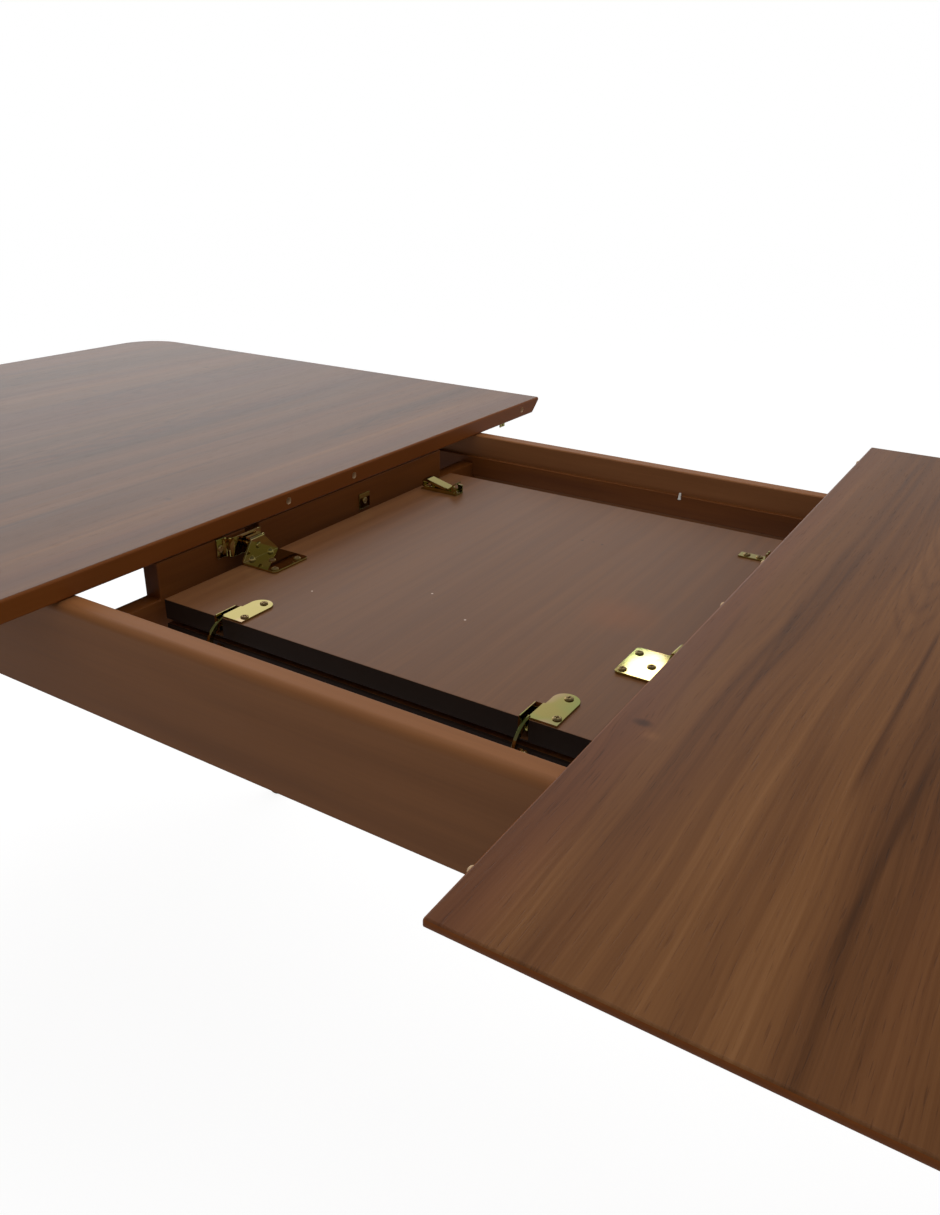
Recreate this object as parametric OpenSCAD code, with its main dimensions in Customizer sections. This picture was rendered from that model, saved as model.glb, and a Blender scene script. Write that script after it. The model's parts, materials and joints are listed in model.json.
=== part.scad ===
// Extending dining table with a folding leaf stored between its aprons.
// Millimetres. Origin on the floor, under the centre of the table.
// X runs along the table, the way it extends. -Y is the front. +Z is up.
// The table is drawn extended, with the leaf still folded and stored.

/* [Table top] */
// Height of the top surface above the floor
table_h = 750; // [720:1:780]
// Length of each top half
half_l = 750; // [720:5:850]
// Width of the table top
top_w = 900; // [898:1:920]
// Thickness of the top halves and of the leaf
panel_t = 18; // [17.5:0.5:19]
// Radius of the rounded outer corners
corner_r = 62; // [40:1:90]
// How far the underside stands back from the tip of the bevelled edge
bevel = 18.5; // [10:0.5:24]

/* [Extension] */
// Length of the leaf along the table
leaf_l = 400; // [390:1:404]
// Gap between each drawn-out half and the cut end of the leaf
end_gap = 14; // [13:0.5:16]
// Height of the stored leaf's upper face below the table surface
store_drop = 44; // [43:0.5:46]
// Gap between the show faces of the folded leaf
face_gap = 4; // [3.5:0.5:4.5]
// Gap between the two leaf halves when they lie flat
butt_gap = 0.5; // [0.4:0.1:0.6]

/* [Frame] */
// Outer length of the frame, over the legs
frame_l = 1220; // [1220:10:1300]
// Outer width of the frame
frame_w = 620; // [618:1:624]
// Height of the aprons and the cross rails
apron_h = 88; // [87:0.5:100]
// Thickness of the aprons
apron_t = 20; // [19:0.5:21]
// Gap between the top halves and the aprons
apron_gap = 0.5; // [0.4:0.1:1]
// Thickness of the cross rails
rail_t = 18; // [16:0.5:20]
// Width of the square leg heads
leg_w = 60; // [56:1:62]
// Diameter of the legs at the floor
foot_d = 30; // [28:1:36]
// How far each foot stands out beyond its leg head, along and across the table
splay = 71; // [55:1:75]

/* [Hidden] */
$fn = 32;

walnut = "#5b3a29";
walnut_dark = "#3a2215";
zinc = "#b5a65a";
steel = "#9a9a96";
beech = "#c9a27a";
white = "#e8e6df";
black = "#222222";

// Heights
under_z = table_h - panel_t;           // underside of the top halves
apron_z = under_z - apron_gap;         // top edge of the aprons
apron_low = apron_z - apron_h;
upper_z = table_h - store_drop;        // underside of the upper leaf half, facing up
lower_z = upper_z - 2 * panel_t - face_gap;   // underside of the lower half, facing down

// Places along and across the table
cut_x = leaf_l / 2 + end_gap;          // cut edges of the top halves as drawn
half_w = top_w / 2;
leaf_x = leaf_l / 2;
leaf_w = half_w - butt_gap / 2;        // width of one leaf half
fold_y = -221;                         // butt edge of the stored leaf
inner_x = frame_l / 2 - apron_t;
inner_y = frame_w / 2 - apron_t;
leg_x = frame_l / 2 - leg_w;           // inner faces of the leg heads
leg_y = frame_w / 2 - leg_w;
head_x = frame_l / 2 - leg_w / 2;      // axes of the leg heads
head_y = frame_w / 2 - leg_w / 2;

// Leaf pivot: half a turn about it takes the stored leaf to the table surface
pivot_y = (fold_y - butt_gap / 2) / 2;
pivot_z = table_h - (store_drop + panel_t) / 2;
pivot_r = 3;
fit = 0.05;                            // running clearance on every pivot

// Fold hinges: two pivots joined by a goose-neck link
skin_d = 7;                            // depth of a pivot behind the show face
link_span = 2 * skin_d + face_gap;
fold_in = (link_span - butt_gap) / 2;  // a pivot's distance from the butt edge
fold_r = 2;
slot_w = 8;
slot_l = 24;
slot_floor = 2;                        // show-face thickness left under a slot
ease = 1;                              // chamfer of the butt edges, which pass close as they fold
hinge_xs = [-139, 138];                // centres of the slots
plate_w = 20;
plate_l = 44.5;
sheet = 1.5;                           // hinge and support sheet thickness

// Dowels in one cut edge, holes in the facing one
dowel_r = 3;
dowel_hole_r = 3.4;
dowel_out = 5;
dowel_in = 20;
dowel_hole_l = dowel_out + 1;
dowel_z = panel_t / 2;                 // depth of the dowel line below the surface
dowel_ys = [50, 404];                  // distances from the centreline

// Latches and keepers stand this far from the centreline of the open table
latch_y = 370;
latch_t = 1.2;                         // sheet thickness of a latch base

// Cross rails and what they carry
rail_x = leaf_x + 15;                  // inner faces
rail_head_y = 212;                     // half length of the raised middle part
rail_notch_z = table_h - 52;
track_t = 5;
track_h = 24.5;
track_z = table_h - 44;                // top face of the tracks
track_y = inner_y - track_t;           // inner faces of the tracks
support_y = -146;                      // near end of a pivot support
support_h = 18;
support_z = pivot_z + 12 - support_h;
ear_out = 6.5;                         // gap between the leaf end and a support's ear

// Runners under the top halves
runner_x = cut_x + 71;
runner_l = 245;
runner_w = 36;
runner_y = track_y - 32;               // inner faces of the runners
runner_low = track_z + 0.2;
clip_xs = [cut_x + 238, cut_x + 281];  // near ends of the hold-down clips
clip_l = 30;
clip_t = 2;
runner_screw_xs = [cut_x + 86, cut_x + 155, cut_x + 224];
counterbore = 8;

screw_r = 1.5;
screw_hole_r = 1.6;
head_r = 3.3;
head_h = 1.3;

// Pivot brackets at the ends of the upper leaf half
bracket_l = 45;                        // across the leaf
bracket_w = 39;
bracket_t = 2;
bracket_y = pivot_y + 2.3;
gusset_top = 17;
tab_bend_r = 2.4;                       // outside radius where the tab turns over
gusset_h = pivot_z + 7 - upper_z;

// Screws of the leaf hardware, as distances from the panel's edge and as places
latch_screw_us = [13, 49];
keeper_screw_us = [17, 29];
leaf_latch_y = fold_y + latch_y;
leaf_dowel_ys = [for (d = dowel_ys) fold_y + d];
hinge_screw_spots = [for (x = hinge_xs, p = [[20, 9], [15, 36.5]]) [x + p[0], fold_y + p[1], 0]];
latch_screw_spots = [for (u = latch_screw_us) [u - leaf_x, leaf_latch_y, 0]];
keeper_screw_spots = [for (u = keeper_screw_us) [leaf_x - u, leaf_latch_y, 0]];
bracket_screw_spots = [for (s = [-1, 1], p = [[33.5, 13], [34, -17], [17.5, -2.5]])
                       [s * (leaf_x - p[0]), bracket_y + p[1], 0]];

// Places of the frame's own screws
rail_plate_y = 66;
rail_plate_z = table_h - 40;
rail_screw_spots = [[-rail_x, support_y + 4.2, support_z + support_h / 2],
                    [-rail_x, rail_plate_y, rail_plate_z]];
track_screw_spots = [for (x = [-500, -290, 290, 500]) [x, track_y + head_h, track_z - 12]];
track_screw_l = 18;

glide_h = 4;
glide_pin_l = 24;

// Leg bolts and the steel brackets that they pull on
bolt_r = 4;
bolt_z = apron_low + 17;
bracket_dist = leg_w * sqrt(2) / 2 + 3;   // from a leg's axis to its corner bracket
bracket_run = bracket_dist * sqrt(2) + leg_w / 2 - apron_t;   // from that axis along an apron
plate_t = 2;
side_flange = [head_x - bracket_run, inner_y, bolt_z];
end_flange = [inner_x, head_y - bracket_run, bolt_z];
side_corner_spots = [for (z = [-10, 10]) side_flange + [-15, -plate_t, z]];
end_corner_spots = [for (z = [-10, 10]) end_flange + [-plate_t, -15, z]];

// ---- helpers ----

module both_y() { children(); mirror([0, 1, 0]) children(); }
module both_x() { children(); mirror([1, 0, 0]) children(); }
module at_each(points) { for (p = points) translate(p) children(); }

// A pan-head screw with a cross recess: its head sits on z = 0 and its shank points down
module screw(length = 11) {
    difference() {
        union() {
            cylinder(h = head_h * 0.5, r = head_r);
            translate([0, 0, head_h * 0.5]) cylinder(h = head_h * 0.5, r1 = head_r, r2 = head_r - 1);
        }
        for (a = [0, 90])
            rotate(a) translate([-1.9, -0.4, head_h - 0.7]) cube([3.8, 0.8, 1]);
    }
    translate([0, 0, -length]) cylinder(h = length, r = screw_r);
}

// The hole for such a screw, cut down from z = above
module screw_hole(depth = 11.5, above = 5) {
    translate([0, 0, -depth]) cylinder(h = depth + above, r = screw_hole_r);
}

// A cylinder along X from x = a to x = b
module x_rod(a, b, r) { translate([a, 0, 0]) rotate([0, 90, 0]) cylinder(h = b - a, r = r); }

// ---- panels ----

// Points of a bevelled edge from its tip at distance r down to the underside, z down from 0
function edge_points(r) = [[r - 2, 0], [r - 0.6, -0.6], [r, -2], [r, -4.2],
                           [r - bevel * 0.42, -panel_t * 0.62], [r - bevel, -panel_t]];

// A top half: cut edge at x = 0, outer end at +X, surface at z = 0
module half_panel() {
    side = half_w - corner_r;
    edge = edge_points(half_w);
    union() {
        rotate([90, 0, 90]) linear_extrude(half_l - corner_r)
            polygon(concat(edge, [for (i = [len(edge) - 1:-1:0]) [-edge[i][0], edge[i][1]]]));
        translate([half_l - corner_r, 0, 0]) rotate([90, 0, 0])
            linear_extrude(2 * side, center = true)
                polygon(concat([[-1, -panel_t], [-1, 0]], edge_points(corner_r)));
        both_y() translate([half_l - corner_r, side, 0])
            rotate_extrude() polygon(concat([[0, -panel_t], [0, 0]], edge_points(corner_r)));
    }
}

// A leaf half in its own place: underside at z = 0 facing up, show face below
module leaf_panel() {
    difference() {
        translate([0, fold_y, -panel_t]) rotate([90, 0, 90])
            linear_extrude(leaf_l, center = true) mirror([0, 1])
                polygon(concat([[0, -panel_t], [0, -ease], [ease, 0]], edge_points(leaf_w)));
        for (x = hinge_xs)
            translate([x - slot_w / 2, fold_y - 1, slot_floor - panel_t])
                cube([slot_w, slot_l + 1, panel_t + 1]);
        for (d = dowel_ys) translate([0, fold_y + d, dowel_z - panel_t]) {
            x_rod(-leaf_x - 1, dowel_in - leaf_x, dowel_r);
            x_rod(leaf_x - dowel_hole_l, leaf_x + 1, dowel_hole_r);
        }
        at_each(concat(hinge_screw_spots, latch_screw_spots, keeper_screw_spots)) screw_hole();
    }
}

// Everything on a leaf half is drawn from its underside, with z pointing away from the wood
module on_upper() { translate([0, 0, upper_z]) children(); }
module on_lower() { translate([0, 0, lower_z]) mirror([0, 0, 1]) children(); }
module under_top() { translate([0, 0, under_z]) mirror([0, 0, 1]) children(); }

// ---- leaf hardware ----

// One leaf of a fold hinge: a plate on the wood and a pressed box that lines the slot
module hinge_leaf(x) {
    plate_x = x + slot_w / 2;
    wall_l = 20;
    rim_t = 0.9;
    rim_h = 0.5;
    difference() {
        union() {
            translate([plate_x, fold_y + 1, 0]) cube([plate_w, plate_l - 1 - plate_w / 2, sheet]);
            intersection() {
                translate([plate_x + plate_w / 2, fold_y + plate_l - plate_w / 2 - 1, 0])
                    cylinder(h = sheet, r = plate_w / 2);
                translate([plate_x, fold_y, 0]) cube([plate_w, plate_l, sheet]);
            }
            translate([plate_x - sheet, fold_y + 3, -15]) cube([sheet, wall_l, 15 + sheet]);
            translate([x - slot_w / 2, fold_y + 3, -15]) cube([rim_t, wall_l, 15]);
            translate([x - slot_w / 2, fold_y + 1, -3]) cube([rim_t, wall_l + 2, 3 + rim_h]);
            translate([x - slot_w / 2, fold_y + 3 + wall_l - sheet, -15]) cube([slot_w, sheet, 12.5]);
        }
        translate([0, fold_y + fold_in, skin_d - panel_t])
            x_rod(x - slot_w, x + slot_w, fold_r);
        at_each(hinge_screw_spots) screw_hole();
    }
}

module hinge_pin(x) {
    translate([0, fold_y + fold_in, skin_d - panel_t])
        x_rod(x - slot_w / 2, x + slot_w / 2, fold_r);
}

// An ellipse with half axes a and b
module ellipse(a, b) { scale([a / b, 1]) circle(b); }

// The goose-neck link that joins the two leaves of a hinge
module fold_link(x) {
    arm_out = 20;
    arm_up = 15.5;
    arm_w = 5;
    lobe_r = 4.5;
    half_span = link_span / 2;
    translate([x, fold_y + fold_in, (upper_z + lower_z) / 2]) rotate([90, 0, 90])
        difference() {
            linear_extrude(2.5, center = true) {
                difference() {
                    ellipse(arm_out + arm_w / 2, arm_up + arm_w / 2);
                    ellipse(arm_out - arm_w / 2, arm_up - arm_w / 2);
                    translate([0, -arm_out]) square(2 * arm_out);
                }
                for (s = [0, 1]) mirror([0, s]) translate([0, half_span]) {
                    circle(lobe_r);
                    translate([-lobe_r, 0]) square([lobe_r, arm_up - half_span]);
                }
            }
            for (s = [-1, 1]) translate([0, s * half_span, 0])
                cylinder(h = 10, r = fold_r + fit, center = true);
        }
}

// The bracket that hangs a leaf half on its pivot, drawn at the left end of the leaf
module pivot_bracket() {
    difference() {
        union() {
            translate([-leaf_x, bracket_y - bracket_l / 2, 0]) linear_extrude(bracket_t)
                union() {
                    square([bracket_w - 4, bracket_l]);
                    translate([0, 4]) square([bracket_w, bracket_l - 8]);
                    for (v = [4, bracket_l - 4]) translate([bracket_w - 4, v]) circle(4);
                }
            translate([-leaf_x, 0, 0]) rotate([90, 0, 90]) linear_extrude(bracket_t)
                polygon([[bracket_y - bracket_l / 2, 0], [bracket_y + bracket_l / 2, 0],
                         [bracket_y + bracket_l / 2, 3],
                         [pivot_y + gusset_top / 2, gusset_h], [pivot_y - gusset_top / 2, gusset_h],
                         [bracket_y - bracket_l / 2, 3]]);
            translate([-leaf_x - 4.8, pivot_y - gusset_top / 2, gusset_h])
                cube([4.8 + bracket_t, gusset_top, bracket_t]);
            // pressed ribs across the bend
            for (v = [-12, 12]) intersection() {
                translate([-leaf_x + bracket_t, bracket_y + v, bracket_t]) sphere(3.2);
                translate([-leaf_x + 0.5, bracket_y + v - 5, 0.5]) cube(10);
            }
        }
        translate([0, pivot_y, pivot_z - upper_z]) x_rod(-leaf_x - 1, -leaf_x + 4, pivot_r + fit);
        // rounded bend between the gusset and its tab
        translate([-leaf_x + bracket_t - tab_bend_r, pivot_y, gusset_h + bracket_t - tab_bend_r])
            rotate([90, 0, 0]) difference() {
                translate([0, 0, -gusset_top]) cube([tab_bend_r + 1, tab_bend_r + 1, 2 * gusset_top]);
                cylinder(h = 3 * gusset_top, r = tab_bend_r, center = true);
            }
        at_each(bracket_screw_spots) screw_hole();
    }
}

// Sliding catch, drawn with the panel's edge at x = 0 and the wood at x > 0, z < 0
module latch_base() {
    difference() {
        union() {
            translate([6, -7, 0]) cube([46, 14, latch_t]);
            both_y() {
                translate([10, 6.3, 0]) cube([36, 0.7, 4]);
                translate([10, 5.2, 3.3]) cube([36, 1.5, 0.7]);
                translate([46, 5.9, 0]) cube([6, 1.1, 9]);
                for (z = [2.8, 7]) translate([49, 6.8, z]) rotate([-90, 0, 0]) cylinder(h = 1, r = 1.3);
            }
        }
        at_each([for (u = latch_screw_us) [u, 0, 0]]) screw_hole();
    }
}

module latch_bolt() {
    strip = [[7, 3], [8.3, 3], [8.3, 9], [10, 10.9], [13, 11], [40, 4.5], [41.5, 4.5], [50.5, 12],
             [49.6, 13], [41, 5.9], [40.4, 5.9], [14, 12.3], [10, 12.2], [7, 9.4]];
    union() {
        translate([0, 5.5, 0]) rotate([90, 0, 0]) linear_extrude(11) polygon(strip);
        both_y() translate([0, 6.4, 0]) rotate([90, 0, 0]) linear_extrude(1)
            polygon([[9, 12], [14, 12.3], [38, 6.4], [38, 4.3], [34, 4.3], [9, 10]]);
        translate([38, -4.9, 1.4]) cube([3, 9.8, 4]);
        both_y() translate([17, 3.7, 1.4]) cube([24, 2.4, 1.7]);
    }
}

// Keeper with two prongs, drawn with the panel's edge at x = 0 and the wood at x > 0
module keeper() {
    difference() {
        union() {
            translate([9, -5.5, 0]) cube([27, 11, sheet]);
            for (v = [-5.5, 1]) translate([9, v, 0]) cube([1.6, 4.5, 8]);
        }
        at_each([for (u = keeper_screw_us) [u, 0, 0]]) screw_hole();
    }
}

module leaf_keeper() { translate([leaf_x, leaf_latch_y, 0]) mirror([1, 0, 0]) keeper(); }

module leaf_screws() {
    at_each([for (p = concat(hinge_screw_spots, keeper_screw_spots)) p + [0, 0, sheet]]) screw();
    at_each([for (p = latch_screw_spots) p + [0, 0, latch_t]]) screw();
}

// Dowels in a cut edge at x, standing out towards -X
module dowels(x, ys, z) {
    for (y = ys) translate([0, y, z]) {
        x_rod(x - dowel_out + 1.5, x + dowel_in, dowel_r);
        translate([x - dowel_out, 0, 0]) rotate([0, 90, 0])
            cylinder(h = 1.5, r1 = dowel_r - 1.2, r2 = dowel_r);
    }
}

// ---- frame ----

// The front apron, with its outer top edge rounded
module long_apron() {
    round_r = 7;
    color(walnut) difference() {
        translate([-leg_x, -frame_w / 2, apron_low]) rotate([90, 0, 90])
            linear_extrude(2 * leg_x) union() {
                square([apron_t, apron_h - round_r]);
                translate([round_r, 0]) square([apron_t - round_r, apron_h]);
                translate([round_r, apron_h - round_r]) circle(round_r);
            }
        mirror([0, 1, 0]) {
            at_each(track_screw_spots) rotate([90, 0, 0]) screw_hole(track_screw_l + 0.5);
            both_x() at_each(side_corner_spots) rotate([90, 0, 0]) screw_hole();
        }
    }
}

module end_apron() {
    color(walnut) difference() {
        translate([inner_x, -leg_y, apron_low]) cube([apron_t, 2 * leg_y, apron_h]);
        both_y() at_each(end_corner_spots) rotate([0, -90, 0]) screw_hole();
    }
}

// A leg: a square head between the aprons, and a round tapered shaft that leans out to its foot
module leg() {
    start_z = apron_low + 15;
    lean = atan(splay * sqrt(2) / start_z);
    shaft_l = start_z / cos(lean) + foot_d;
    color(walnut) translate([head_x, head_y, 0]) difference() {
        union() {
            translate([0, 0, apron_low + apron_h / 2]) cube([leg_w, leg_w, apron_h], center = true);
            translate([0, 0, start_z]) rotate([0, 180 - lean, 45])
                cylinder(h = shaft_l, r1 = leg_w / 2 - 3, r2 = foot_d / 2 - 0.5);
        }
        translate([0, 0, glide_h - 2 * foot_d]) cube([6 * leg_w, 6 * leg_w, 4 * foot_d], center = true);
        translate([splay, splay, 0]) cylinder(h = glide_pin_l + 1, r = 2);
        translate([0, 0, bolt_z]) rotate([0, 0, 45]) x_rod(-leg_w, 0, bolt_r + 0.1);
    }
}

// The axis of the back right leg at bolt height, with X turned out along the bolt
module to_corner() {
    translate([head_x, head_y, bolt_z]) rotate(45) children();
}

// A steel plate across a corner of the frame, with a flange on each apron
module corner_bracket() {
    plate_h = 32;
    flange_l = 24;
    reach = bracket_dist + 2 * apron_t;
    difference() {
        union() {
            intersection() {
                to_corner() translate([-bracket_dist - plate_t, -reach, -plate_h / 2])
                    cube([plate_t, 2 * reach, plate_h]);
                translate([0, 0, bolt_z - plate_h / 2]) cube([inner_x, inner_y, plate_h]);
            }
            translate(side_flange + [-flange_l, -plate_t, -plate_h / 2])
                cube([flange_l, plate_t, plate_h]);
            translate(end_flange + [-plate_t, -flange_l, -plate_h / 2])
                cube([plate_t, flange_l, plate_h]);
        }
        to_corner() x_rod(-leg_w * 2, 0, bolt_r + 0.3);
        at_each(side_corner_spots) rotate([90, 0, 0]) screw_hole();
        at_each(end_corner_spots) rotate([0, -90, 0]) screw_hole();
    }
}

// A nail-on glide under a foot
module glide() {
    translate([head_x + splay, head_y + splay, 0]) {
        cylinder(h = 1, r1 = foot_d / 2 - 3, r2 = foot_d / 2 - 2);
        translate([0, 0, 1]) cylinder(h = glide_h - 1, r = foot_d / 2 - 2);
        cylinder(h = glide_pin_l, r = 1.9);
    }
}

// A cross rail at the left of the leaf
module cross_rail() {
    head = rail_head_y;
    low = apron_low;
    color(walnut_dark) difference() {
        translate([-rail_x - rail_t, 0, 0]) rotate([90, 0, 90]) linear_extrude(rail_t)
            polygon([[-inner_y, low], [inner_y, low], [inner_y, track_z - track_h],
                     [track_y - 0.5, track_z - track_h], [track_y - 0.5, rail_notch_z],
                     [head, rail_notch_z], [head, under_z - 1], [-head, under_z - 1],
                     [-head, rail_notch_z], [-track_y + 0.5, rail_notch_z],
                     [-track_y + 0.5, track_z - track_h], [-inner_y, track_z - track_h]]);
        // relief over the pivot
        translate([-rail_x - 8, pivot_y + 2, pivot_z + 7]) cube([9, 18, 20]);
        at_each(rail_screw_spots) rotate([0, 90, 0]) screw_hole();
    }
}

module rail_plate() {
    difference() {
        translate([-rail_x, rail_plate_y - 8.5, rail_plate_z - 8]) cube([sheet, 17, 16]);
        at_each([rail_screw_spots[1]]) rotate([0, 90, 0]) screw_hole();
    }
}

// A quarter of a bend in sheet, in the quadrant [qx, qy] of its axis
module bend(r, qx, qy) {
    intersection() {
        difference() {
            cylinder(h = support_h, r = r + sheet);
            translate([0, 0, -1]) cylinder(h = support_h + 2, r = r);
        }
        translate([min(qx, 0), min(qy, 0), 0] * 2 * (r + sheet))
            cube([2 * (r + sheet), 2 * (r + sheet), support_h]);
    }
}

// The bent strap on a cross rail that carries the leaf pivot
module pivot_support() {
    ear_x = -leaf_x - ear_out;
    bend_r = (rail_x + ear_x) / 2 - sheet;
    bend_x = ear_x - sheet - bend_r;
    plate_end = support_y + 7.5;
    ear_y = plate_end + 2 * bend_r + sheet;
    ear_end = pivot_y + 13;
    color(zinc) difference() {
        union() {
            translate([-rail_x, support_y, support_z])
                cube([sheet, plate_end - support_y, support_h]);
            translate([bend_x, plate_end, support_z]) bend(bend_r, -1, 1);
            translate([bend_x, ear_y, support_z]) bend(bend_r, 1, -1);
            translate([ear_x - sheet, ear_y, support_z]) cube([sheet, ear_end - ear_y, support_h]);
            // tab that stops the leaf in its stored place
            translate([ear_x - sheet, pivot_y + 6, pivot_z + 5.35]) cube([sheet + 4.5, 7, sheet]);
        }
        translate([0, pivot_y, pivot_z]) x_rod(ear_x - 5, ear_x + 1, pivot_r);
        at_each([rail_screw_spots[0]]) rotate([0, 90, 0]) screw_hole();
    }
}

module pivot_pin() {
    translate([0, pivot_y, pivot_z]) {
        x_rod(-leaf_x - ear_out - sheet - 1.4, -leaf_x - ear_out - sheet, 4.5);
        x_rod(-leaf_x - ear_out - sheet, -leaf_x + bracket_t + 0.3, pivot_r);
        x_rod(-leaf_x - ear_out, -leaf_x - 0.3, 5);
        translate([-leaf_x + bracket_t + 0.3, 0, 0]) rotate([0, 90, 0])
            cylinder(h = 0.9, r1 = pivot_r, r2 = pivot_r - 1);
    }
}

// A track along the back apron
module track() {
    color(walnut_dark) difference() {
        translate([-leg_x, track_y, track_z - track_h]) cube([2 * leg_x, track_t, track_h]);
        for (p = track_screw_spots) translate(p) rotate([90, 0, 0]) {
            screw_hole(track_screw_l + 0.5);
            cylinder(h = 3, r = head_r + 0.2);
        }
        track_peg();
    }
}

module track_peg() {
    translate([53, track_y + 1.2, track_z - 4.6]) cylinder(h = 7.3, r1 = 2.2, r2 = 1.1);
}

// ---- parts under the top halves, drawn for the right half ----

module runner() {
    color(walnut_dark) difference() {
        translate([runner_x, runner_y, runner_low]) cube([runner_l, runner_w, under_z - runner_low]);
        for (x = runner_screw_xs) translate([x, runner_y + 18, runner_low]) {
            translate([0, 0, -1]) cylinder(h = counterbore + 1, r = 5);
            cylinder(h = 40, r = screw_hole_r);
        }
        for (x = clip_xs) translate([x + clip_l / 2, runner_y + 10, runner_low])
            mirror([0, 0, 1]) screw_hole();
    }
}

// A bent clip that hooks under the track and holds the runner down
module clip() {
    web_y = track_y - 1.5 - clip_t;
    hook_z = track_z - track_h - 1 - clip_t;
    difference() {
        union() {
            translate([0, runner_y + 3, runner_low - clip_t])
                cube([clip_l, web_y + clip_t - runner_y - 3, clip_t]);
            translate([0, web_y, hook_z]) cube([clip_l, clip_t, runner_low - hook_z]);
            translate([0, web_y, hook_z]) cube([clip_l, 7.5, clip_t]);
        }
        translate([clip_l / 2, runner_y + 10, runner_low]) mirror([0, 0, 1]) screw_hole();
    }
}

module clips() { both_y() for (x = clip_xs) translate([x, 0, 0]) clip(); }

module runner_screws() {
    both_y() {
        for (x = runner_screw_xs) translate([x, runner_y + 18, runner_low + counterbore])
            mirror([0, 0, 1]) screw(26);
        for (x = clip_xs) translate([x + clip_l / 2, runner_y + 10, runner_low - clip_t])
            mirror([0, 0, 1]) screw(12);
    }
}

module runner_pilots() {
    both_y() for (x = runner_screw_xs)
        translate([x, runner_y + 18, under_z - 1]) cylinder(h = 11, r = screw_hole_r);
}

// ---- the parts ----

module apron_front() { long_apron(); }
module apron_back() { mirror([0, 1, 0]) long_apron(); }
module apron_right() { end_apron(); }
module apron_left() { mirror([1, 0, 0]) end_apron(); }
module leg_back_right() { leg(); }
module leg_front_right() { mirror([0, 1, 0]) leg(); }
module leg_back_left() { mirror([1, 0, 0]) leg(); }
module leg_front_left() { rotate(180) leg(); }
module leg_glides() { color(black) both_x() both_y() glide(); }
module corner_brackets() { color(steel) both_x() both_y() corner_bracket(); }
module leg_bolts() {
    color(steel) both_x() both_y() to_corner() x_rod(-bracket_dist - 14, -leg_w * 0.1, bolt_r);
}
module leg_nuts() {
    color(steel) both_x() both_y() to_corner() difference() {
        translate([-bracket_dist - 9, 0, 0]) rotate([0, 90, 0]) cylinder(h = 7, r = 7.5, $fn = 6);
        x_rod(-leg_w * 2, 0, bolt_r + fit);
    }
}
module cross_rail_left() { cross_rail(); }
module cross_rail_right() { mirror([1, 0, 0]) cross_rail(); }
module track_back() { track(); }
module track_front() { mirror([0, 1, 0]) track(); }
module track_pegs() { color(white) both_y() track_peg(); }
module pivot_support_left() { pivot_support(); }
module pivot_support_right() { mirror([1, 0, 0]) pivot_support(); }
module pivot_pins() { color(zinc) both_x() pivot_pin(); }
module rail_plates() { color(zinc) both_x() rail_plate(); }
module frame_screws() {
    color(steel) {
        both_x() for (p = rail_screw_spots) translate(p + [sheet, 0, 0]) rotate([0, 90, 0]) screw();
        both_y() at_each(track_screw_spots) rotate([90, 0, 0]) screw(track_screw_l);
        both_x() both_y() {
            at_each(side_corner_spots) rotate([90, 0, 0]) screw();
            at_each(end_corner_spots) rotate([0, -90, 0]) screw();
        }
    }
}
module apron_pads() {
    color(black) both_x() both_y() for (x = [300, 520])
        translate([x, frame_w / 2 - apron_t / 2, apron_z]) cylinder(h = apron_gap - 0.02, r = 6);
}

module top_left() {
    color(walnut) difference() {
        mirror([1, 0, 0]) translate([cut_x, 0, table_h]) half_panel();
        for (s = [-1, 1], d = dowel_ys) translate([0, s * d, table_h - dowel_z])
            x_rod(-cut_x - dowel_hole_l, -cut_x + 1, dowel_hole_r);
        both_y() at_each([for (u = keeper_screw_us) [-cut_x - u, latch_y, under_z]])
            mirror([0, 0, 1]) screw_hole();
        mirror([1, 0, 0]) runner_pilots();
    }
}
module runner_left_back() { mirror([1, 0, 0]) runner(); }
module runner_left_front() { rotate(180) runner(); }
module clips_left() { color(steel) mirror([1, 0, 0]) clips(); }
module keepers_left() {
    color(zinc) both_y() under_top() translate([-cut_x, latch_y, 0]) mirror([1, 0, 0]) keeper();
}
module screws_left() {
    color(steel) {
        mirror([1, 0, 0]) runner_screws();
        both_y() under_top() at_each([for (u = keeper_screw_us) [-cut_x - u, latch_y, sheet]]) screw();
    }
}

module top_right() {
    color(walnut) difference() {
        translate([cut_x, 0, table_h]) half_panel();
        for (s = [-1, 1], d = dowel_ys) translate([0, s * d, table_h - dowel_z])
            x_rod(cut_x - 1, cut_x + dowel_in, dowel_r);
        both_y() at_each([for (u = latch_screw_us) [cut_x + u, latch_y, under_z]])
            mirror([0, 0, 1]) screw_hole();
        runner_pilots();
    }
}
module runner_right_back() { runner(); }
module runner_right_front() { mirror([0, 1, 0]) runner(); }
module clips_right() { color(steel) clips(); }
module latch_bases_right() {
    color(zinc) both_y() under_top() translate([cut_x, latch_y, 0]) latch_base();
}
module dowels_right() {
    color(beech) both_y() dowels(cut_x, dowel_ys, table_h - dowel_z);
}
module screws_right() {
    color(steel) {
        runner_screws();
        both_y() under_top() at_each([for (u = latch_screw_us) [cut_x + u, latch_y, latch_t]]) screw();
    }
}
module latch_bolt_back() { color(zinc) under_top() translate([cut_x, latch_y, 0]) latch_bolt(); }
module latch_bolt_front() { mirror([0, 1, 0]) latch_bolt_back(); }

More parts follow.
